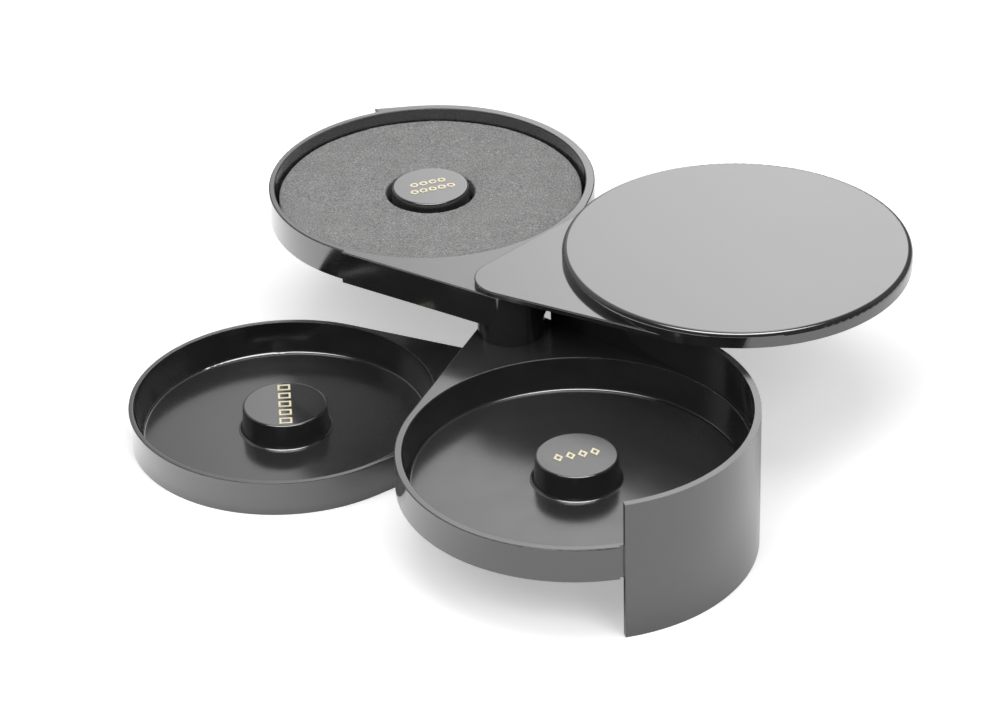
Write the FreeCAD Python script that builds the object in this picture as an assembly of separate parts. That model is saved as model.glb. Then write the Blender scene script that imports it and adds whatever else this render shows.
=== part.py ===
import FreeCAD, Part
import math
import os
from FreeCAD import Vector

os.makedirs("parts", exist_ok=True)

# Glass rimmer: two open dishes and a sponge dish that swing out from under a lid.
# Millimetres and degrees. The pivot axis is Z and the table is at height 0.
# Each tray is drawn with its arm along +X, so that its left side is +Y, and then
# turned to its own angle.

# plan
lidRadius = 75.0          # the lid, and the skirt that it covers
rimToPivot = 23.6         # from the edge of the lid to the pivot axis
lobeRadius = 14.3         # rounded end of a tray around the pivot
lidLobeMargin = 0.9       # the lid's own end is this much wider
saltArm = -90.0           # direction of each arm, seen from above
sugarArm = 169.1
juiceArm = 95.6
lidArm = -6.0

# heights, from the table up
sugarHeight = 15.7
lowerBayHeight = 12.3     # room under the salt tray for the sugar tray
saltHeight = 15.2
upperBayHeight = 9.2      # room between the salt tray and the juice tray
juiceHeight = 14.5
footHeight = 0.7          # the juice tray's wall goes this much lower outside the skirt
lidGap = 0.3
lidPlateHeight = 2.4
lidDiscHeight = 6.8
skirtDrop = 4.4           # from the lid down to the top of the skirt

# walls, from the outside in
skirtThickness = 2.75
skirtStepDepth = 0.5      # the low wall stands this much inside the skirt's face
saltLedgeWidth = 0.95     # ledge at the foot of the skirt's inner face
grooveDepth = 1.3
turnGap = 0.3             # between the skirt and what turns inside it
juiceThickness = 2.6
juiceStepDepth = 1.45     # the free side of the juice tray is this much wider
flareDepth = 2.0
sugarInset = 5.05         # the sugar tray is this much smaller than the skirt
floorThickness = 1.4
saltFloorDrop = 0.9       # the salt tray's floor hangs this much below its wall
wallThickness = 2.2
ribThickness = 1.6
ribSpread = 38.0          # angle between the ribs under a tray's end
saltDraftDepth = 2.0      # how much the wall of a dish leans in down to its floor
sugarDraftDepth = 2.8
juiceDraftDepth = 1.5
dishFilletRadius = 1.6
edgeRadius = 0.5

# knobs
sugarKnobRadius = 18.2
knobRadius = 17.1
sugarKnobDrop = 2.8       # from the rim of the dish down to the top of its knob
saltKnobDrop = 3.3
juiceKnobDrop = 2.7
knobFlareWidth = 0.8
knobEdgeRadius = 0.9
knobFootRadius = 1.6
knobCoreRadius = 0.6      # rounding inside the hollow knob

# skirt, with angles about the middle of the dish
skirtStart = -1.8
grooveStart = -3.3        # the low wall stops here, just before the skirt
skirtLobeGap = 0.4        # from the rounded ends to the straight part of the skirt
skirtLineStart = 10.0     # free end of the straight part, along the wall

# step in the wall of the juice tray
recessStart = -0.3
recessEnd = 128.2

# sugar tray shoulder on its trailing side
shoulderRadius = 9.0
shoulderDistance = 12.0
shoulderAngle = -117.6

# lid
lidEdgeRadius = 2.2
lidCoreRadius = 1.2

# pivot hardware
screwRadius = 2.5
sleeveThickness = 2.42
runningGap = 0.08         # around a part that turns on another
slideGap = 0.1            # between flat faces that slide
looseGap = 0.3            # around washers, and at the ends of the sleeve
headRadius = 4.75
headHeight = 2.8
headEdgeRadius = 1.2
socketRadius = 1.7        # to the corners of the hexagon
socketDepth = 1.6
coverHeight = 1.0
coverGap = 0.4            # from the cover to the screw head
plainWasherWidth = 2.5    # how far the washers reach past the sleeve
plainWasherHeight = 1.2
springWasherHeight = 0.8
springWasherThickness = 0.45
counterboreMargin = 2.0
frictionInset = 2.3       # from the rounded end to the edge of a friction washer
frictionHeight = 0.8
wellThickness = 4.3       # from the juice tray's floor level up to the lid's seat
bossInset = 5.3           # from the rounded end to the lid's boss
wellGap = 0.4
insertRadius = 3.6
insertLength = 8.0
insertRelief = 0.4
threadLength = 6.6        # how far the screw goes into the insert

# sponge
spongeHeight = 7.9
spongeGap = 1.55          # to the wall of the dish
spongeHoleGap = 2.7       # to the knob
spongeFootExtra = 0.6     # its foot is rounder than the dish by this much
spongeEdgeRadius = 0.8

# foil marks on the knobs
markHeight = 0.15
markStroke = 0.9
diamondPitch = 5.2
diamondWidth = 4.2
diamondLength = 6.0
boxPitch = 6.8
boxWidth = 4.6
boxLength = 5.5
ringPitch = 4.3
ringDiameter = 3.7
ringRowGap = 6.2          # between the two rows on the juice knob

past = 1.0                # how far a cut runs past the face that it opens
rimMargin = 0.2           # how far the cut for a dish runs onto the flat of its rim

# levels
sugarRim = sugarHeight
saltBase = sugarRim + lowerBayHeight
saltRim = saltBase + saltHeight
saltUnderside = saltBase - saltFloorDrop
juiceBase = saltRim + upperBayHeight
juiceFoot = juiceBase - footHeight
juiceRim = juiceBase + juiceHeight
lidBase = juiceRim + lidGap
lidPlateTop = lidBase + lidPlateHeight
lidTop = lidBase + lidDiscHeight
skirtTop = lidBase - skirtDrop
sugarKnobTop = sugarRim - sugarKnobDrop
saltKnobTop = saltRim - saltKnobDrop
juiceKnobTop = juiceRim - juiceKnobDrop
saltHubBase = sugarRim + slideGap
juiceHubBase = saltRim + slideGap

# radii and distances in plan
reach = lidRadius + rimToPivot
skirtOuter = lidRadius
skirtInner = skirtOuter - skirtThickness
saltOuter = skirtOuter - skirtStepDepth
saltInner = skirtInner - saltLedgeWidth
grooveRadius = saltOuter - grooveDepth
juiceRecess = skirtInner - turnGap
juiceInner = juiceRecess - juiceThickness
juiceOuter = juiceRecess + juiceStepDepth
flareRadius = juiceOuter + flareDepth
sugarOuter = skirtInner - sugarInset
sugarInner = sugarOuter - wallThickness
skirtLineInner = lobeRadius + skirtLobeGap
skirtLineOuter = skirtLineInner + wallThickness

# pivot stack, from the cover up
sleeveBore = screwRadius + runningGap
sleeveRadius = sleeveBore + sleeveThickness
washerRadius = sleeveRadius + plainWasherWidth
counterboreRadius = washerRadius + counterboreMargin
frictionRadius = lobeRadius - frictionInset
bossRadius = lobeRadius - bossInset
wellRadius = bossRadius + wellGap
headBase = coverHeight + coverGap
headTop = headBase + headHeight
springBase = headTop + plainWasherHeight
trayUnderside = springBase + springWasherHeight
sleeveBase = springBase + looseGap
wellFloor = juiceBase + wellThickness
sleeveTop = wellFloor - looseGap
bossBase = wellFloor + frictionHeight + slideGap
screwTop = bossBase + threadLength

origin = Vector(0, 0, 0)
up = Vector(0, 0, 1)
middle = Vector(reach, 0, 0)


def polar(radius, angle, centre=origin, height=0.0):
    turn = math.radians(angle)
    return centre + Vector(radius * math.cos(turn), radius * math.sin(turn), height)


def cylinder(radius, low, high, centre=origin):
    return Part.makeCylinder(radius, high - low, centre + up * low)


def tube(outer, inner, low, high):
    return cylinder(outer, low, high).cut(cylinder(inner, low - past, high + past))


def polygonPrism(points, low, high):
    raised = [Vector(point.x, point.y, low) for point in points]
    wire = Part.makePolygon(raised + [raised[0]])
    return Part.Face(wire).extrude(up * (high - low))


def sector(radius, start, end, low, high):
    # a pie slice about the middle of the dish
    wedge = Part.makeCylinder(radius, high - low, middle + up * low, up, end - start)
    wedge.rotate(middle, up, start)
    return wedge


def sideAngle(bigRadius, smallRadius, distance):
    # where the common tangent leaves both circles, from the line between them
    return math.degrees(math.acos((smallRadius - bigRadius) / distance))


def teardrop(bigRadius, smallRadius, low, high, smallCentre=origin):
    # two circles joined by their outer tangents, as a prism
    along = middle - smallCentre
    heading = math.degrees(math.atan2(along.y, along.x))
    side = sideAngle(bigRadius, smallRadius, along.Length)
    corners = []
    for centre, radius, far in ((middle, bigRadius, 0), (smallCentre, smallRadius, 180)):
        for turn in (side, far, -side):
            corners.append(polar(radius, heading + turn, centre, low))
    edges = [
        Part.Arc(corners[0], corners[1], corners[2]).toShape(),
        Part.makeLine(corners[2], corners[5]),
        Part.Arc(corners[5], corners[4], corners[3]).toShape(),
        Part.makeLine(corners[3], corners[0]),
    ]
    return Part.Face(Part.Wire(edges)).extrude(up * (high - low))


def roundTop(shape, height, radius):
    # round the edges that lie flat at this height
    chosen = []
    for edge in shape.Edges:
        if all(abs(vertex.Point.z - height) < 1e-6 for vertex in edge.Vertexes):
            chosen.append(edge)
    return shape.makeFillet(radius, chosen)


def roundedCorner(before, point, after, radius):
    # start, middle and end of the arc that rounds a corner of an outline
    if radius == 0:
        return point, point, point
    back = (before - point).normalize()
    ahead = (after - point).normalize()
    half = back.getAngle(ahead) / 2
    setback = radius / math.tan(half)
    inward = (back + ahead).normalize()
    belly = point + inward * (radius / math.sin(half) - radius)
    return point + back * setback, belly, point + ahead * setback


def revolve(outline, centre=origin):
    # each entry is (radius, height) or, with a rounded corner, (radius, height, round)
    points = [Vector(centre.x + entry[0], centre.y, entry[1]) for entry in outline]
    arcs = []
    for index, entry in enumerate(outline):
        before = points[index - 1]
        after = points[(index + 1) % len(points)]
        size = entry[2] if len(entry) > 2 else 0
        arcs.append(roundedCorner(before, points[index], after, size))
    edges = []
    for index, (first, belly, last) in enumerate(arcs):
        if first != last:
            edges.append(Part.Arc(first, belly, last).toShape())
        following = arcs[(index + 1) % len(arcs)][0]
        if (following - last).Length > 1e-6:
            edges.append(Part.makeLine(last, following))
    return Part.Face(Part.Wire(edges)).revolve(centre, up, 360)


def dishCut(inner, rim, floor, draft, knobTop, knobEdge):
    # the space of a dish around its middle knob
    mouth = inner + edgeRadius + rimMargin
    return revolve([
        (0, rim + past),
        (mouth, rim + past),
        (mouth, rim),
        (inner, rim, edgeRadius),
        (inner - draft, floor, dishFilletRadius),
        (knobEdge + knobFlareWidth, floor, knobFootRadius),
        (knobEdge, knobTop, knobEdgeRadius),
        (0, knobTop),
    ], middle)


def knobCore(base, knobTop, knobEdge):
    # the hollow under a knob
    foot = knobEdge + knobFlareWidth - wallThickness
    top = knobTop - wallThickness
    return revolve([
        (0, base - past),
        (foot, base - past),
        (knobEdge - wallThickness, top, knobCoreRadius),
        (0, top),
    ], middle)


def lobeCavity(outer, low, high, hub):
    # the hollow under the flat deck, with ribs from the hub to the dish wall
    space = teardrop(outer - wallThickness, lobeRadius - wallThickness, low, high)
    space = space.cut(cylinder(outer, low - past, high + past, middle))
    space = space.cut(cylinder(hub, low - past, high + past))
    for turn in (-ribSpread, 0, ribSpread):
        corner = Vector(0, -ribThickness / 2, low - past)
        rib = Part.makeBox(reach, ribThickness, high - low + 2 * past, corner)
        rib.rotate(origin, up, turn)
        space = space.cut(rib)
    return space


def turned(shape, angle):
    copy = shape.copy()
    copy.rotate(origin, up, angle)
    return copy


def sugarTray():
    body = teardrop(sugarOuter, lobeRadius, 0, sugarRim)
    shoulder = polar(shoulderDistance, shoulderAngle)
    body = body.fuse(teardrop(sugarOuter, shoulderRadius, 0, sugarRim, shoulder))
    body = body.removeSplitter()
    body = roundTop(body, sugarRim, edgeRadius)
    body = body.cut(dishCut(sugarInner, sugarRim, floorThickness, sugarDraftDepth,
                            sugarKnobTop, sugarKnobRadius))
    body = body.cut(knobCore(0, sugarKnobTop, sugarKnobRadius))
    hub = counterboreRadius + wallThickness
    body = body.cut(lobeCavity(sugarOuter, -past, sugarRim - wallThickness, hub))
    body = body.cut(cylinder(counterboreRadius, -past, trayUnderside))
    body = body.cut(cylinder(sleeveRadius + runningGap, 0, sugarRim + past))
    return body.removeSplitter()


def skirt():
    # a curved wall around the dish and a straight one towards the pivot
    arcEnd = sideAngle(skirtOuter, skirtLineOuter, reach)
    band = sector(skirtOuter, skirtStart, arcEnd, 0, skirtTop)
    band = band.cut(cylinder(skirtInner, -past, skirtTop + past, middle))
    length = math.sqrt(reach ** 2 - (skirtOuter - skirtLineOuter) ** 2)
    corners = []
    for distance, along in ((skirtLineOuter, skirtLineStart), (skirtLineOuter, length),
                            (skirtLineInner, length), (skirtLineInner, skirtLineStart)):
        corners.append(polar(distance, arcEnd) + polar(along, arcEnd - 90))
    straight = polygonPrism(corners, 0, skirtTop)
    return band.fuse(straight).removeSplitter()


def skirtSide():
    # under the skirt the tray is a little wider, out to the skirt's own face
    wide = teardrop(skirtOuter, skirtLineOuter, saltBase, saltRim)
    arcEnd = sideAngle(skirtOuter, skirtLineOuter, reach)
    keep = sector(skirtOuter + past, skirtStart, arcEnd, saltBase, saltRim)
    keep = keep.fuse(polygonPrism([
        origin,
        polar(skirtLineOuter + past, arcEnd),
        polar(skirtOuter + past, arcEnd, middle),
        middle,
    ], saltBase, saltRim))
    return wide.common(keep)


def saltTray():
    body = teardrop(saltOuter, lobeRadius, saltBase, saltRim)
    body = roundTop(body, saltRim, edgeRadius)
    body = body.fuse(skirtSide())
    groove = sector(skirtOuter + past, grooveStart, skirtStart, saltBase - past, saltRim + past)
    core = cylinder(grooveRadius, saltBase - 2 * past, saltRim + 2 * past, middle)
    body = body.cut(groove.cut(core))
    body = body.fuse(skirt())
    body = body.fuse(cylinder(lobeRadius, saltHubBase, saltBase + past))
    body = body.removeSplitter()
    body = body.fuse(cylinder(saltInner, saltUnderside, saltBase + past, middle))
    body = body.cut(dishCut(saltInner, saltRim, saltUnderside + floorThickness,
                            saltDraftDepth, saltKnobTop, knobRadius))
    body = body.cut(knobCore(saltUnderside, saltKnobTop, knobRadius))
    body = body.cut(lobeCavity(saltOuter, saltBase - past, saltRim - wallThickness,
                               lobeRadius))
    pocket = saltHubBase + frictionHeight
    body = body.cut(cylinder(frictionRadius + looseGap, saltHubBase - past, pocket))
    body = body.cut(cylinder(sleeveRadius, saltHubBase - past, saltRim + past))
    return body.removeSplitter()


def juiceTray():
    body = teardrop(juiceOuter, lobeRadius, juiceFoot, juiceRim)
    # the flare runs out from the round wall up to the step
    flareSpan = math.degrees(math.acos(juiceOuter / flareRadius))
    body = body.fuse(polygonPrism([
        polar(flareRadius, recessStart, middle),
        polar(juiceInner + past, recessStart, middle),
        polar(juiceInner + past, recessStart - flareSpan, middle),
        polar(juiceOuter, recessStart - flareSpan, middle),
    ], juiceFoot, juiceRim))
    body = body.removeSplitter()
    recess = sector(flareRadius + past, recessStart, recessEnd, juiceFoot - past,
                    juiceRim + past)
    core = cylinder(juiceRecess, juiceFoot - 2 * past, juiceRim + 2 * past, middle)
    body = body.cut(recess.cut(core))
    under = sector(flareRadius, recessStart, recessEnd, juiceFoot - past, juiceBase)
    under = under.fuse(cylinder(juiceInner + past, juiceFoot - past, juiceBase, middle))
    body = body.cut(under)
    body = roundTop(body.removeSplitter(), juiceRim, edgeRadius)
    body = body.fuse(cylinder(lobeRadius, juiceHubBase, juiceBase + past))
    body = body.cut(dishCut(juiceInner, juiceRim, juiceBase + floorThickness,
                            juiceDraftDepth, juiceKnobTop, knobRadius))
    body = body.cut(knobCore(juiceBase, juiceKnobTop, knobRadius))
    body = body.cut(lobeCavity(juiceOuter, juiceFoot - past, juiceRim - wallThickness,
                               lobeRadius))
    pocket = juiceHubBase + frictionHeight
    body = body.cut(cylinder(frictionRadius + looseGap, juiceHubBase - past, pocket))
    body = body.cut(cylinder(wellRadius, wellFloor, juiceRim + past))
    body = body.cut(cylinder(sleeveRadius + runningGap, juiceHubBase - past, juiceRim + past))
    return body.removeSplitter()


def lid():
    body = teardrop(lidRadius, lobeRadius + lidLobeMargin, lidBase, lidPlateTop)
    body = roundTop(body, lidPlateTop, edgeRadius)
    disc = revolve([
        (0, lidBase),
        (lidRadius, lidBase),
        (lidRadius, lidTop, lidEdgeRadius),
        (0, lidTop),
    ], middle)
    body = body.fuse(disc)
    wall = wallThickness
    body = body.cut(revolve([
        (0, lidBase - past),
        (lidRadius - wall, lidBase - past),
        (lidRadius - wall, lidTop - wall, lidCoreRadius),
        (0, lidTop - wall),
    ], middle))
    body = body.fuse(cylinder(bossRadius, bossBase, lidPlateTop - past))
    body = body.removeSplitter()
    return body.cut(cylinder(insertRadius, bossBase - past,
                             bossBase + insertLength + insertRelief))


def sponge():
    low = juiceBase + floorThickness
    high = low + spongeHeight
    hole = knobRadius + spongeHoleGap
    edge = juiceInner - spongeGap
    return revolve([
        (hole, low),
        (edge, low, dishFilletRadius + spongeFootExtra),
        (edge, high, spongeEdgeRadius),
        (hole, high, spongeEdgeRadius),
    ], middle)


def pivotScrew():
    head = revolve([
        (0, headBase),
        (headRadius, headBase, headEdgeRadius),
        (headRadius, headTop),
        (0, headTop),
    ])
    body = head.fuse(cylinder(screwRadius, headTop, screwTop))
    socket = [polar(socketRadius, 60 * step) for step in range(6)]
    return body.cut(polygonPrism(socket, headBase - past, headBase + socketDepth))


def springWasher():
    inner = sleeveRadius + looseGap
    return revolve([
        (washerRadius, springBase),
        (washerRadius, springBase + springWasherThickness),
        (inner, trayUnderside),
        (inner, trayUnderside - springWasherThickness),
    ])


def frictionWasher(base):
    return tube(frictionRadius, sleeveRadius + looseGap, base, base + frictionHeight)


def diamondMark():
    # an outlined diamond, longer away from the pivot than it is wide
    halves = (diamondLength / 2, diamondWidth / 2)
    slant = math.hypot(*halves)
    outer = [polar(halves[step % 2], 90 * step) for step in range(4)]
    inner = []
    for step in range(4):
        setback = markStroke * slant / halves[1 - step % 2]
        inner.append(polar(halves[step % 2] - setback, 90 * step))
    solid = polygonPrism(outer, 0, markHeight)
    return solid.cut(polygonPrism(inner, -past, markHeight + past))


def boxMark():
    # an outlined rectangle
    solid = Part.makeBox(boxLength, boxWidth, markHeight,
                         Vector(-boxLength / 2, -boxWidth / 2, 0))
    hole = Part.makeBox(boxLength - 2 * markStroke, boxWidth - 2 * markStroke,
                        markHeight + 2 * past,
                        Vector(markStroke - boxLength / 2, markStroke - boxWidth / 2, -past))
    return solid.cut(hole)


def markRow(count, mark, pitch, offset, level):
    row = []
    for index in range(count):
        across = (index - (count - 1) / 2) * pitch
        copy = mark.copy()
        copy.translate(middle + Vector(offset, across, level))
        row.append(copy)
    return row


ring = tube(ringDiameter / 2, ringDiameter / 2 - markStroke, 0, markHeight)
saltMarks = markRow(4, diamondMark(), diamondPitch, 0, saltKnobTop)
sugarMarks = markRow(5, boxMark(), boxPitch, 0, sugarKnobTop)
juiceMarks = markRow(5, ring, ringPitch, -ringRowGap / 2, juiceKnobTop)
juiceMarks += markRow(4, ring, ringPitch, ringRowGap / 2, juiceKnobTop)

pieces = {
    "salt_tray": turned(saltTray(), saltArm),
    "sugar_tray": turned(sugarTray(), sugarArm),
    "juice_tray": turned(juiceTray(), juiceArm),
    "lid": turned(lid(), lidArm),
    "juice_sponge": turned(sponge(), juiceArm),
    "salt_mark": turned(Part.makeCompound(saltMarks), saltArm),
    "sugar_mark": turned(Part.makeCompound(sugarMarks), sugarArm),
    "juice_mark": turned(Part.makeCompound(juiceMarks), juiceArm),
    "pivot_sleeve": tube(sleeveRadius, sleeveBore, sleeveBase, sleeveTop),
    "pivot_screw": pivotScrew(),
    "thread_insert": tube(insertRadius, screwRadius, bossBase, bossBase + insertLength),
    "plain_washer": tube(washerRadius, screwRadius + slideGap, headTop, springBase),
    "spring_washer": springWasher(),
    "lower_friction_washer": frictionWasher(sugarRim),
    "upper_friction_washer": frictionWasher(saltRim),
    "lid_friction_washer": tube(bossRadius, screwRadius + looseGap, wellFloor,
                                wellFloor + frictionHeight),
    "screw_cover": cylinder(counterboreRadius, 0, coverHeight),
}

for name, shape in pieces.items():
    shape.exportStep("parts/" + name + ".step")
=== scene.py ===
import bpy
import bmesh
import math
from mathutils import Matrix, Vector, noise


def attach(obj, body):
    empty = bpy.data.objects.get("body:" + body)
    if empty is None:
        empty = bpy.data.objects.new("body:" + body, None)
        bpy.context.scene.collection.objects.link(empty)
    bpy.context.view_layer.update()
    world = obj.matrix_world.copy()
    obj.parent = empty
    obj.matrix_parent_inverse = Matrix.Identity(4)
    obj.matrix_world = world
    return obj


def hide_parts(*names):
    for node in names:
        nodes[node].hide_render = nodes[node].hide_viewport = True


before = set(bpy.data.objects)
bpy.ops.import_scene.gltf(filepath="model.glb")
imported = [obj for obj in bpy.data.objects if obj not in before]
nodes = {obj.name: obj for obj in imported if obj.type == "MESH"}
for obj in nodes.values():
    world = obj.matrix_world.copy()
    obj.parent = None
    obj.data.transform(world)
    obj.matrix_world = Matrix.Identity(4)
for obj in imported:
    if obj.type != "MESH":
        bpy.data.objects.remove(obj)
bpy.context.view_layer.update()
print("frame loaded with", len(nodes), "nodes")

reach = 0.0986  # pivot axis to the middle of each dish


def dishMiddle(arm):
    angle = math.radians(arm)
    return Vector((reach * math.cos(angle), reach * math.sin(angle), 0))


def newMaterial(name, colour, roughness):
    material = bpy.data.materials.new(name)
    material.use_nodes = True
    material.diffuse_color = (*colour, 1)
    tree = material.node_tree
    shader = tree.nodes["Principled BSDF"]
    shader.inputs["Base Color"].default_value = (*colour, 1)
    shader.inputs["Roughness"].default_value = roughness
    return material, tree, shader


def addNode(tree, kind, values=None, **settings):
    node = tree.nodes.new("ShaderNode" + kind)
    for name, value in settings.items():
        setattr(node, name, value)
    for name, value in (values or {}).items():
        node.inputs[name].default_value = value
    return node


def objectCoords(tree, centre=(0, 0, 0), stretch=(1, 1, 1)):
    # object coordinates, moved so that the centre is the pattern's origin
    coords = addNode(tree, "TexCoord")
    shift = addNode(tree, "VectorMath", operation="SUBTRACT")
    shift.inputs[1].default_value = centre
    scale = addNode(tree, "VectorMath", operation="MULTIPLY")
    scale.inputs[1].default_value = stretch
    tree.links.new(coords.outputs["Object"], shift.inputs[0])
    tree.links.new(shift.outputs[0], scale.inputs[0])
    return scale.outputs[0]


def noiseOf(tree, vector, scale, detail=2.0, rough=0.5):
    node = addNode(tree, "TexNoise", {"Scale": scale, "Detail": detail, "Roughness": rough})
    tree.links.new(vector, node.inputs["Vector"])
    return node.outputs["Fac"]


def spread(tree, value, fromLow, fromHigh, toLow, toHigh):
    node = addNode(tree, "MapRange", {"From Min": fromLow, "From Max": fromHigh,
                                      "To Min": toLow, "To Max": toHigh})
    tree.links.new(value, node.inputs["Value"])
    return node.outputs["Result"]


def blendColours(tree, factor, first, second):
    node = addNode(tree, "Mix", data_type="RGBA")
    node.inputs["A"].default_value = (*first, 1)
    node.inputs["B"].default_value = (*second, 1)
    tree.links.new(factor, node.inputs["Factor"])
    return node.outputs["Result"]


def combine(tree, first, second, operation="ADD"):
    node = addNode(tree, "Math", operation=operation)
    for socket, value in ((node.inputs[0], first), (node.inputs[1], second)):
        if isinstance(value, (int, float)):
            socket.default_value = value
        else:
            tree.links.new(value, socket)
    return node.outputs[0]


def addBump(tree, shader, height, depth, strength=1.0, below=None):
    node = addNode(tree, "Bump", {"Strength": strength, "Distance": depth})
    tree.links.new(height, node.inputs["Height"])
    if below is not None:
        tree.links.new(below, node.inputs["Normal"])
    tree.links.new(node.outputs["Normal"], shader.inputs["Normal"])
    return node.outputs["Normal"]


def dress(nodeName, material):
    mesh = nodes[nodeName].data
    mesh.materials.clear()
    mesh.materials.append(material)


plasticLook = {
    "colour": (0.012, 0.012, 0.0125),
    "hazeColour": (0.016, 0.016, 0.0165),
    "satinColour": (0.026, 0.026, 0.027),
    "ior": 2.0,
    "coatIor": 1.5,           # the walls and knobs are polished, as if under a clear skin
    "coatRoughness": 0.1,
    "polished": (0.08, 0.13),
    "satin": (0.2, 0.26),     # floors, rims and decks, which lie flat
    "polishedRadius": 0.018,  # the flat top of the knob is polished too
    "rimRadius": 1.0,         # from here out the rounded edges are satin as well
    "rimCoat": 0.4,           # rims and decks keep some of the clear skin
    "rubbedRoughness": 0.35,  # added on the rounded edges of the rim
    "levelFacing": (0.93, 0.99),  # a face that looks up this much lies flat
    "edgeFacing": (0.25, 0.5),    # and from here it belongs to a rounded edge
    "knobBlend": 0.0005,      # widths of the soft borders between the finishes
    "rimBlend": 0.0003,
    "hazeScale": 34,
    "hazeSpread": (0.42, 0.72),
    "ringScale": 900,
    "ringSpread": (0.3, 0.7),
    "ringRoughness": 0.012,
    "grainScale": 2600,
    "grainDepth": 0.0000004,
    "waveScale": 26,
    "waveDepth": 0.00001,
}


def blackPlastic(name, look):
    material, tree, shader = newMaterial(name, look["colour"], look["polished"][0])
    inputs = shader.inputs
    inputs["IOR"].default_value = look["ior"]
    inputs["Coat IOR"].default_value = look["coatIor"]
    inputs["Coat Roughness"].default_value = look["coatRoughness"]
    centred = objectCoords(tree, look["middle"])

    # distance from the middle of the dish
    flat = addNode(tree, "VectorMath", operation="MULTIPLY")
    flat.inputs[1].default_value = (1, 1, 0)
    length = addNode(tree, "VectorMath", operation="LENGTH")
    tree.links.new(centred, flat.inputs[0])
    tree.links.new(flat.outputs[0], length.inputs[0])
    distance = length.outputs["Value"]

    # faces that lie flat are satin, but for the top of the knob, and so are rim edges
    facing = addNode(tree, "SeparateXYZ")
    tree.links.new(addNode(tree, "TexCoord").outputs["Normal"], facing.inputs[0])
    level = spread(tree, facing.outputs["Z"], *look["levelFacing"], 0, 1)
    knobEdge = look["polishedRadius"]
    beyond = spread(tree, distance, knobEdge - look["knobBlend"], knobEdge, 0, 1)
    flatSatin = combine(tree, level, beyond, "MULTIPLY")
    sloping = spread(tree, facing.outputs["Z"], *look["edgeFacing"], 0, 1)
    rimStart = look["rimRadius"]
    onRim = spread(tree, distance, rimStart - look["rimBlend"], rimStart, 0, 1)
    rimEdge = combine(tree, sloping, onRim, "MULTIPLY")
    isSatin = combine(tree, flatSatin, rimEdge, "MAXIMUM")
    flatRim = combine(tree, level, onRim, "MULTIPLY")
    rimCoat = combine(tree, flatRim, look["rimCoat"], "MULTIPLY")
    coat = combine(tree, spread(tree, isSatin, 0, 1, 1, 0), rimCoat)
    tree.links.new(coat, inputs["Coat Weight"])

    # faint handling haze over the whole moulding
    patches = noiseOf(tree, centred, look["hazeScale"], 5, 0.6)
    haze = spread(tree, patches, *look["hazeSpread"], 0, 1)
    handled = blendColours(tree, haze, look["colour"], look["hazeColour"])
    paint = addNode(tree, "Mix", data_type="RGBA")
    paint.inputs["B"].default_value = (*look["satinColour"], 1)
    tree.links.new(isSatin, paint.inputs["Factor"])
    tree.links.new(handled, paint.inputs["A"])
    tree.links.new(paint.outputs["Result"], inputs["Base Color"])
    finish = addNode(tree, "Mix", data_type="FLOAT")
    tree.links.new(isSatin, finish.inputs["Factor"])
    tree.links.new(spread(tree, haze, 0, 1, *look["polished"]), finish.inputs["A"])
    tree.links.new(spread(tree, haze, 0, 1, *look["satin"]), finish.inputs["B"])

    # rings left by the turned tool, about the middle of the dish
    radius = addNode(tree, "CombineXYZ")
    tree.links.new(distance, radius.inputs["X"])
    rings = noiseOf(tree, radius.outputs[0], look["ringScale"], 2, 0.5)
    ringDepth = look["ringRoughness"]
    ringed = spread(tree, rings, *look["ringSpread"], -ringDepth, ringDepth)
    turned = combine(tree, finish.outputs["Result"], ringed)

    # the rounded edges of the rim are rubbed dull
    rounded = combine(tree, rimEdge, spread(tree, level, 0, 1, 1, 0), "MULTIPLY")
    rubbed = spread(tree, rounded, 0, 1, 0, look["rubbedRoughness"])
    tree.links.new(combine(tree, turned, rubbed), inputs["Roughness"])

    wide = noiseOf(tree, centred, look["waveScale"], 1, 0.4)
    grain = noiseOf(tree, centred, look["grainScale"], 3, 0.6)
    waves = addBump(tree, shader, wide, look["waveDepth"])
    addBump(tree, shader, grain, look["grainDepth"], 1.0, waves)
    return material


saltTray = dict(plasticLook, middle=dishMiddle(-90), rimRadius=0.0713, polishedRadius=0.0)
sugarTray = dict(plasticLook, middle=dishMiddle(169.1), rimRadius=0.065, satin=(0.16, 0.22))
juiceTray = dict(plasticLook, middle=dishMiddle(95.6), rimRadius=0.0693, rimCoat=0.7)
lid = dict(plasticLook, middle=dishMiddle(-6), polished=(0.13, 0.18), polishedRadius=0.2)

dress("salt_tray", blackPlastic("saltPlastic", saltTray))
dress("sugar_tray", blackPlastic("sugarPlastic", sugarTray))
dress("juice_tray", blackPlastic("juicePlastic", juiceTray))
dress("lid", blackPlastic("lidPlastic", lid))
print("mouldings done")


foil = {
    "colour": (0.95, 0.88, 0.66),
    "rubbed": (0.82, 0.72, 0.46),
    "roughness": (0.42, 0.55),
    "metal": 0.2,
    "patchScale": 700,
    "patchSpread": (0.4, 0.65),
    "grainScale": 3500,
    "grainDepth": 0.00002,
    "grainStrength": 0.6,
}


def goldFoil():
    material, tree, shader = newMaterial("goldFoil", foil["colour"], foil["roughness"][0])
    shader.inputs["Metallic"].default_value = foil["metal"]
    coords = objectCoords(tree)
    cloud = noiseOf(tree, coords, foil["patchScale"], 4, 0.6)
    patches = spread(tree, cloud, *foil["patchSpread"], 0, 1)
    tree.links.new(blendColours(tree, patches, foil["colour"], foil["rubbed"]),
                   shader.inputs["Base Color"])
    tree.links.new(spread(tree, patches, 0, 1, *foil["roughness"]), shader.inputs["Roughness"])
    grain = noiseOf(tree, coords, foil["grainScale"], 2, 0.5)
    addBump(tree, shader, grain, foil["grainDepth"], foil["grainStrength"])
    return material


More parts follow.
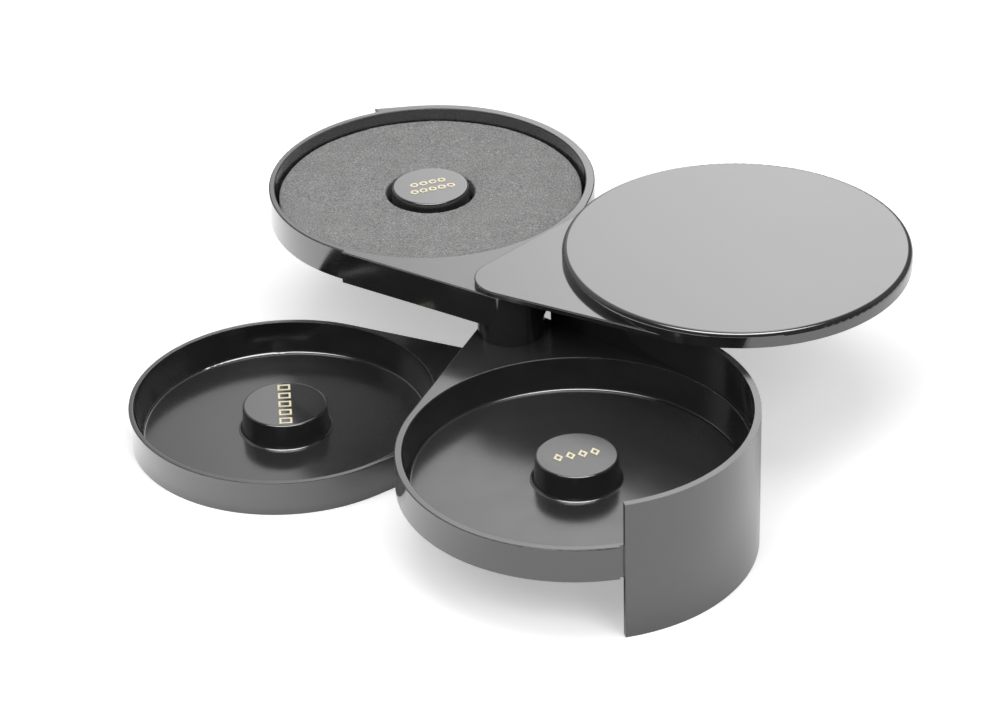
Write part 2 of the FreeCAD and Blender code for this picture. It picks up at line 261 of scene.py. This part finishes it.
foilMaterial = goldFoil()
for markName in ("salt_mark", "sugar_mark", "juice_mark"):
    dress(markName, foilMaterial)
print("foil marks done")


turning = {
    "stretch": (60, 60, 5200),  # fine turning lines run around the pivot axis
    "lineSpread": (0.3, 0.7),
    "stainScale": 420,
    "stainSpread": (0.45, 0.7),
}


def turnedMetal(name, look):
    material, tree, shader = newMaterial(name, look["colour"], look["roughness"][0])
    shader.inputs["Metallic"].default_value = 1
    lines = noiseOf(tree, objectCoords(tree, stretch=turning["stretch"]), 1, 3, 0.6)
    stains = noiseOf(tree, objectCoords(tree), turning["stainScale"], 4, 0.6)
    stained = spread(tree, stains, *turning["stainSpread"], 0, 1)
    tree.links.new(spread(tree, lines, *turning["lineSpread"], *look["roughness"]),
                   shader.inputs["Roughness"])
    tree.links.new(blendColours(tree, stained, look["colour"], look["stain"]),
                   shader.inputs["Base Color"])
    addBump(tree, shader, lines, look["depth"])
    return material


nylonLook = {
    "colour": (0.74, 0.72, 0.65),
    "stain": (0.66, 0.63, 0.55),
    "glow": 0.15,                     # light that passes through the thin rings
    "glowReach": (0.001, 0.0008, 0.0006),
    "roughness": (0.42, 0.6),
    "patchScale": 300,
    "patchDetail": (4, 0.6),
    "patchSpread": (0.35, 0.7),
    "grainScale": 2400,
    "grainDetail": (2, 0.5),
    "grainDepth": 0.00002,
}

coverLook = {
    "colour": (0.024, 0.024, 0.025),
    "stain": (0.05, 0.05, 0.05),      # scuffs from the table
    "roughness": (0.4, 0.62),
    "patchScale": 260,
    "patchDetail": (5, 0.65),
    "patchSpread": (0.5, 0.75),
    "grainScale": 1800,
    "grainDetail": (3, 0.6),
    "grainDepth": 0.00003,
}


def patchyPlastic(name, look):
    material, tree, shader = newMaterial(name, look["colour"], look["roughness"][0])
    coords = objectCoords(tree)
    cloud = noiseOf(tree, coords, look["patchScale"], *look["patchDetail"])
    patches = spread(tree, cloud, *look["patchSpread"], 0, 1)
    tree.links.new(blendColours(tree, patches, look["colour"], look["stain"]),
                   shader.inputs["Base Color"])
    tree.links.new(spread(tree, patches, 0, 1, *look["roughness"]), shader.inputs["Roughness"])
    grain = noiseOf(tree, coords, look["grainScale"], *look["grainDetail"])
    addBump(tree, shader, grain, look["grainDepth"])
    return material, shader


def nylon():
    material, shader = patchyPlastic("nylonWasher", nylonLook)
    shader.inputs["Subsurface Weight"].default_value = nylonLook["glow"]
    shader.inputs["Subsurface Radius"].default_value = nylonLook["glowReach"]
    return material


metalLooks = {
    "pivot_sleeve": {"colour": (0.6, 0.6, 0.61), "stain": (0.5, 0.5, 0.5),
                     "roughness": (0.22, 0.36), "depth": 0.00001},
    "pivot_screw": {"colour": (0.62, 0.63, 0.66), "stain": (0.5, 0.52, 0.5),
                    "roughness": (0.28, 0.42), "depth": 0.000015},
    "plain_washer": {"colour": (0.6, 0.61, 0.63), "stain": (0.48, 0.49, 0.48),
                     "roughness": (0.3, 0.46), "depth": 0.00001},
    "spring_washer": {"colour": (0.2, 0.21, 0.24), "stain": (0.12, 0.11, 0.11),
                      "roughness": (0.34, 0.5), "depth": 0.00001},
    "thread_insert": {"colour": (0.78, 0.6, 0.3), "stain": (0.6, 0.42, 0.18),
                      "roughness": (0.24, 0.38), "depth": 0.000015},
}
for metalName, metalLook in metalLooks.items():
    dress(metalName, turnedMetal(metalName + "_metal", metalLook))
nylonMaterial = nylon()
for washerName in ("lower_friction_washer", "upper_friction_washer", "lid_friction_washer"):
    dress(washerName, nylonMaterial)
dress("screw_cover", patchyPlastic("coverPlastic", coverLook)[0])
print("pivot hardware done")


sponge = {
    "arm": 95.6,
    "low": 0.0538,
    "high": 0.0617,
    "outer": 0.0678,
    "hole": 0.0198,
    "edge": 0.0009,          # softness of the cut edges
    "footRound": 0.0022,     # the dish pushes the lower edge round
    "rings": 62,             # loops across the top
    "steps": 400,            # around
    "cellDepth": 0.00016,
    "cellSize": 0.0013,
    "fineShare": 0.6,        # small cells beside the large ones
    "fineRatio": 2.3,
    "fineShift": (5, 1, 3),
    "sunk": 0.4,             # most of the cells lie below the cut face
    "waveDepth": 0.00022,
    "waveSize": 0.02,
    "flatFoot": 0.002,       # the cells fade out down here
    "colour": (0.29, 0.29, 0.288),
    # painted shade for the pores and a painted highlight for the cell walls, over the foam's own
    # grey
    "poreShade": (0.14, 0.14, 0.14),
    "paintedGlint": (0.55, 0.55, 0.54),
    "poreShadeSpread": (0.36, 0.5),
    "paintedGlintSpread": (0.56, 0.68),
    "speckleScale": 1500,
    "cloudScale": 120,
    "cloudTone": (0.93, 1.07),
    "sheen": 0.25,
    "roughness": (0.85, 1.0),
    "wallBump": 0.0004,
    "speckleBump": 0.0003,
    "bumpStrength": 0.7,
}


def spongeProfile():
    # half a section, from the foot of the hole over the top and round underneath
    low, high = sponge["low"], sponge["high"]
    hole, outer = sponge["hole"], sponge["outer"]
    edge, foot = sponge["edge"], sponge["footRound"]
    points = [(hole, low), (hole, low + 0.33 * (high - low)), (hole, low + 0.66 * (high - low))]
    for step in range(5):
        turn = math.radians(22.5 * step)
        points.append((hole + edge - edge * math.cos(turn), high - edge + edge * math.sin(turn)))
    inside, outside = hole + edge, outer - edge
    for step in range(1, sponge["rings"]):
        points.append((inside + (outside - inside) * step / sponge["rings"], high))
    for step in range(5):
        turn = math.radians(22.5 * step)
        points.append((outside + edge * math.sin(turn), high - edge + edge * math.cos(turn)))
    for step in range(7):
        turn = math.radians(15 * step)
        points.append((outer - foot + foot * math.cos(turn), low + foot - foot * math.sin(turn)))
    for step in range(1, 8):
        points.append((outer - foot + (hole - outer + foot) * step / 8, low))
    return points


def makeSponge():
    middle = dishMiddle(sponge["arm"])
    shape = bmesh.new()
    verts = [shape.verts.new(middle + Vector((radius, 0, height)))
             for radius, height in spongeProfile()]
    edges = [shape.edges.new((verts[i], verts[(i + 1) % len(verts)])) for i in range(len(verts))]
    bmesh.ops.spin(shape, geom=verts + edges, cent=middle, axis=(0, 0, 1), dvec=(0, 0, 0),
                   angle=2 * math.pi, steps=sponge["steps"], use_merge=True)
    bmesh.ops.remove_doubles(shape, verts=shape.verts, dist=1e-6)
    bmesh.ops.recalc_face_normals(shape, faces=shape.faces)
    shape.normal_update()
    # open cells all over, and a slow rise and fall of the whole sheet
    fineShift = Vector(sponge["fineShift"])
    for vert in shape.verts:
        cells = noise.noise(vert.co / sponge["cellSize"])
        fine = noise.noise(vert.co / sponge["cellSize"] * sponge["fineRatio"] + fineShift)
        slow = noise.noise(vert.co / sponge["waveSize"])
        above = max(0.0, min(1.0, (vert.co.z - sponge["low"]) / sponge["flatFoot"]))
        depth = sponge["cellDepth"] * (cells + sponge["fineShare"] * fine - sponge["sunk"])
        depth += sponge["waveDepth"] * (slow - 0.5)
        vert.co += vert.normal * depth * above
    mesh = bpy.data.meshes.new("juice_pad")
    shape.to_mesh(mesh)
    shape.free()
    for face in mesh.polygons:
        face.use_smooth = True
    piece = bpy.data.objects.new("juice_pad", mesh)
    bpy.context.scene.collection.objects.link(piece)
    return piece


def foam():
    material, tree, shader = newMaterial("openFoam", sponge["colour"], sponge["roughness"][0])
    shader.inputs["Specular IOR Level"].default_value = sponge["sheen"]
    coords = objectCoords(tree)
    cells = addNode(tree, "TexVoronoi", {"Scale": sponge["speckleScale"]}, feature="F1")
    tree.links.new(coords, cells.inputs["Vector"])
    speckle = noiseOf(tree, coords, sponge["speckleScale"], 3, 0.75)
    cloud = noiseOf(tree, coords, sponge["cloudScale"], 3, 0.6)

    # painted shade in the pores, and a painted highlight on the cell walls
    poreShadeEdge = spread(tree, speckle, *sponge["poreShadeSpread"], 0, 1)
    mix = addNode(tree, "Mix", data_type="RGBA")
    mix.inputs["B"].default_value = (*sponge["paintedGlint"], 1)
    tree.links.new(spread(tree, speckle, *sponge["paintedGlintSpread"], 0, 1), mix.inputs["Factor"])
    tree.links.new(blendColours(tree, poreShadeEdge, sponge["poreShade"], sponge["colour"]),
                   mix.inputs["A"])
    tone = addNode(tree, "HueSaturation")
    tree.links.new(spread(tree, cloud, 0.3, 0.7, *sponge["cloudTone"]), tone.inputs["Value"])
    tree.links.new(mix.outputs["Result"], tone.inputs["Color"])
    tree.links.new(tone.outputs["Color"], shader.inputs["Base Color"])
    tree.links.new(spread(tree, speckle, 0.3, 0.7, *sponge["roughness"]),
                   shader.inputs["Roughness"])

    strength = sponge["bumpStrength"]
    walls = addBump(tree, shader, cells.outputs["Distance"], sponge["wallBump"], strength)
    addBump(tree, shader, speckle, sponge["speckleBump"], strength, walls)
    return material


pad = makeSponge()
pad.data.materials.append(foam())
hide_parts("juice_sponge")
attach(pad, "juice")
print("sponge done with", len(pad.data.polygons), "faces")


camera = {
    "place": (-0.36614, -1.36977, 0.88545),
    "right": (0.9633967, -0.2672134, -0.0215362),
    "up": (0.1555522, 0.4917721, 0.8567168),
    "back": (-0.2183353, -0.8287082, 0.5153373),
    "lens": 138.539,
    "sensor": 36,
    "clip": (0.05, 50),
}


def makeCamera():
    data = bpy.data.cameras.new("camera")
    data.sensor_fit = "HORIZONTAL"
    data.sensor_width = camera["sensor"]
    data.lens = camera["lens"]
    data.clip_start, data.clip_end = camera["clip"]
    viewer = bpy.data.objects.new("camera", data)
    bpy.context.scene.collection.objects.link(viewer)
    turn = Matrix((camera["right"], camera["up"], camera["back"])).transposed()
    viewer.matrix_world = Matrix.Translation(camera["place"]) @ turn.to_4x4()
    bpy.context.scene.camera = viewer


makeCamera()


studio = {
    "heading": 14.76,         # the room is turned this much, seen from above
    "floorSize": 8.0,
    "floorColour": (0.9, 0.9, 0.9),
    "whiteFrom": (0.5, 1.5),  # the camera sees the floor turn all white over this distance
    "floorLift": 0.38,        # extra white that the camera sees
    "cardLift": 0.55,         # and that reflections see at the left, as from a white card
    "cardReach": (-0.06, -0.18),
    "worldLight": 0.3,
    "roomGlow": 0.09,         # the dark part of the room, in reflections
    "backGlow": 2.07,         # large softbox behind, in reflections
    "backSide": (0, 0.25),    # where it fades in towards the back
    "backLow": (0.06, 0.2),   # and in and out, as heights on the dome
    "backHigh": (0.93, 0.97),
    "frontGlow": 7.0,         # long strip over the front
    "frontSide": (0, -0.12),
    "frontLow": (0.85, 0.88),
    "frontHigh": (0.985, 0.996),
    "aim": (0, 0, 0.04),      # the lamps point at the middle of the object
}

# lamps: azimuth, elevation and distance, width and height, and level
lamps = {
    "overheadSoftbox": ((0, 88, 2.0), (1.6, 1.4), 0.5),
    "rightSoftbox": ((140, 40, 2.2), (1.2, 1.0), 0.31),
    "leftSoftbox": ((-140, 50, 2.2), (1.2, 1.0), 0.26),
}

# how the softbox fades from left to right, as side on the dome and share of its glow
softboxFade = [(-0.9, 0.12), (-0.3, 0.16), (-0.1, 0.25), (-0.06, 0.46), (-0.015, 0.76),
               (0.03, 0.93), (0.08, 1.0), (0.13, 1.0), (0.2, 0.25), (0.3, 0.05)]


def mixShaders(tree, factor, first, second):
    node = addNode(tree, "MixShader")
    tree.links.new(factor, node.inputs[0])
    tree.links.new(first, node.inputs[1])
    tree.links.new(second, node.inputs[2])
    return node.outputs[0]


def around(azimuth, elevation, distance):
    # a place in the room: azimuth 0 is at the back, and 90 at the right
    turn = math.radians(90 - studio["heading"] - azimuth)
    rise = math.radians(elevation)
    return Vector((distance * math.cos(rise) * math.cos(turn),
                   distance * math.cos(rise) * math.sin(turn),
                   distance * math.sin(rise)))


def sideOf(tree, vector, azimuth):
    # how far the vector reaches towards this side of the room
    node = addNode(tree, "VectorMath", operation="DOT_PRODUCT")
    node.inputs[1].default_value = around(azimuth, 0, 1)
    tree.links.new(vector, node.inputs[0])
    return node.outputs["Value"]


def makeFloor():
    shape = bmesh.new()
    bmesh.ops.create_grid(shape, x_segments=1, y_segments=1, size=studio["floorSize"] / 2)
    mesh = bpy.data.meshes.new("floor")
    shape.to_mesh(mesh)
    shape.free()
    floor = bpy.data.objects.new("floor", mesh)
    bpy.context.scene.collection.objects.link(floor)
    material = bpy.data.materials.new("floorPaper")
    material.use_nodes = True
    tree = material.node_tree
    tree.nodes.clear()
    paper = addNode(tree, "BsdfDiffuse", {"Color": (*studio["floorColour"], 1)})
    coords = addNode(tree, "TexCoord")
    side = sideOf(tree, coords.outputs["Object"], 90)
    card = spread(tree, side, *studio["cardReach"], 0, studio["cardLift"])
    rays = addNode(tree, "LightPath")
    far = addNode(tree, "VectorMath", operation="LENGTH")
    tree.links.new(coords.outputs["Object"], far.inputs[0])
    white = spread(tree, far.outputs["Value"], *studio["whiteFrom"], studio["floorLift"], 1)
    level = addNode(tree, "Mix", data_type="FLOAT")
    tree.links.new(rays.outputs["Is Glossy Ray"], level.inputs["Factor"])
    tree.links.new(white, level.inputs["A"])
    tree.links.new(card, level.inputs["B"])
    lift = addNode(tree, "Emission")
    tree.links.new(level.outputs["Result"], lift.inputs["Strength"])
    both = addNode(tree, "AddShader")
    tree.links.new(paper.outputs[0], both.inputs[0])
    tree.links.new(lift.outputs[0], both.inputs[1])
    seen = combine(tree, rays.outputs["Is Camera Ray"], rays.outputs["Is Glossy Ray"], "MAXIMUM")
    final = mixShaders(tree, seen, paper.outputs[0], both.outputs[0])
    output = addNode(tree, "OutputMaterial")
    tree.links.new(final, output.inputs["Surface"])
    mesh.materials.append(material)


def areaLight(name, place, size, level):
    # level is how brightly it lights a white sheet that faces it
    middle = Vector(studio["aim"])
    data = bpy.data.lights.new(name, "AREA")
    data.shape = "RECTANGLE"
    data.size, data.size_y = size
    data.energy = level * math.pi ** 2 * (place - middle).length_squared
    lamp = bpy.data.objects.new(name, data)
    bpy.context.scene.collection.objects.link(lamp)
    lamp.location = place
    lamp.rotation_mode = "QUATERNION"
    lamp.rotation_quaternion = (middle - place).to_track_quat("-Z", "Y")
    lamp.visible_camera = False
    lamp.visible_glossy = False


def roomReflection(tree):
    # softbox behind the object, strip over the front, and a dark room between them
    coords = addNode(tree, "TexCoord")
    right = sideOf(tree, coords.outputs["Generated"], 90)
    back = sideOf(tree, coords.outputs["Generated"], 0)
    parts = addNode(tree, "SeparateXYZ")
    tree.links.new(coords.outputs["Generated"], parts.inputs[0])
    height = parts.outputs["Z"]

    fade = addNode(tree, "ValToRGB")
    fade.color_ramp.interpolation = "EASE"
    stops = fade.color_ramp.elements
    while len(stops) < len(softboxFade):
        stops.new(0.5)
    for stop, (side, share) in zip(stops, softboxFade):
        stop.position = (side + 1) / 2
        stop.color = (share, share, share, 1)
    tree.links.new(spread(tree, right, -1, 1, 0, 1), fade.inputs["Fac"])

    glow = {}
    for end in ("back", "front"):
        shade = spread(tree, back, *studio[end + "Side"], 0, 1)
        if end == "back":
            shade = combine(tree, fade.outputs["Color"], shade, "MULTIPLY")
        fadeIn = spread(tree, height, *studio[end + "Low"], 0, 1)
        fadeOut = spread(tree, height, *studio[end + "High"], 1, 0)
        for factor in (fadeIn, fadeOut, studio[end + "Glow"]):
            shade = combine(tree, shade, factor, "MULTIPLY")
        glow[end] = shade
    return combine(tree, combine(tree, glow["back"], glow["front"]), studio["roomGlow"])


def makeWorld():
    world = bpy.data.worlds.new("studioWorld")
    bpy.context.scene.world = world
    world.use_nodes = True
    tree = world.node_tree
    tree.nodes.clear()
    light = addNode(tree, "Background", {"Strength": studio["worldLight"]})
    gloss = addNode(tree, "Background")
    white = addNode(tree, "Background", {"Strength": 1.0})
    for node in (light, gloss, white):
        node.inputs["Color"].default_value = (1, 1, 1, 1)
    tree.links.new(roomReflection(tree), gloss.inputs["Strength"])
    rays = addNode(tree, "LightPath")
    first = mixShaders(tree, rays.outputs["Is Glossy Ray"], light.outputs[0], gloss.outputs[0])
    shown = combine(tree, rays.outputs["Is Camera Ray"], rays.outputs["Is Transmission Ray"],
                    "MAXIMUM")
    final = mixShaders(tree, shown, first, white.outputs[0])
    output = addNode(tree, "OutputWorld")
    tree.links.new(final, output.inputs["Surface"])


makeFloor()
for lampName, (lampPlace, lampSize, lampLevel) in lamps.items():
    areaLight(lampName, around(*lampPlace), lampSize, lampLevel)
makeWorld()
view = bpy.context.scene.view_settings
view.view_transform = "Standard"
print("studio done")
